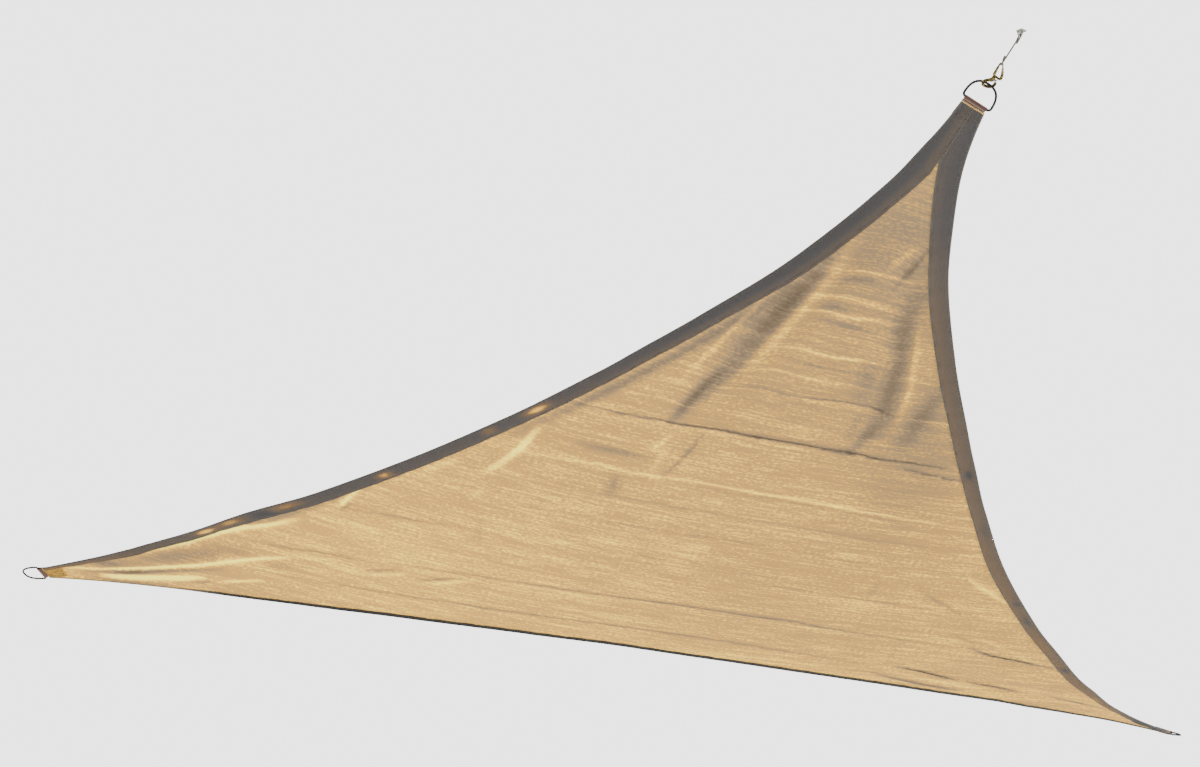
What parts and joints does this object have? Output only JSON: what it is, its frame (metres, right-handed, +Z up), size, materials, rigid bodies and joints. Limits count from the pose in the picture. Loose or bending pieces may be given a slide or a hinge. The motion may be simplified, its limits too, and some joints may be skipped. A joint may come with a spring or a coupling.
{
  "type": "triangular shade sail with snap hook, hanging line and fixing plate",
  "caption": "Triangular knitted shade sail with bowed hemmed edges, webbing and D-rings at its corners, hung at one corner by a snap hook and line from a small plate.",
  "frame": {"origin": "middle of the upper face of the fixing plate that holds the top corner's line", "axes": "+Z up, out of the fixing plate; the sail hangs away towards +Y and falls towards -Z; +X to the viewer's right in the usual view"},
  "size_m": [3.6772, 3.6247, 0.9806],
  "materials": {
    "shade_cloth": "knitted polyethylene, matt, lets light through",
    "webbing": "woven polyester webbing, dark brown",
    "ring_steel": "black coated steel, satin",
    "snap_brass": "pale brass plated, polished",
    "line": "twisted grey line, matt",
    "plate_steel": "grey zinc plate, satin"
  },
  "bodies": {
    "root": {"sail_cloth": "shade_cloth", "webbing_top": "webbing", "webbing_right": "webbing", "webbing_left": "webbing", "ring_top": "ring_steel", "ring_right": "ring_steel", "ring_left": "ring_steel", "snap_hook": "snap_brass", "snap_gate": "snap_brass", "snap_eye": "snap_brass", "hanging_line": "line", "fixing_plate": "plate_steel"}
  },
  "joints": []
}
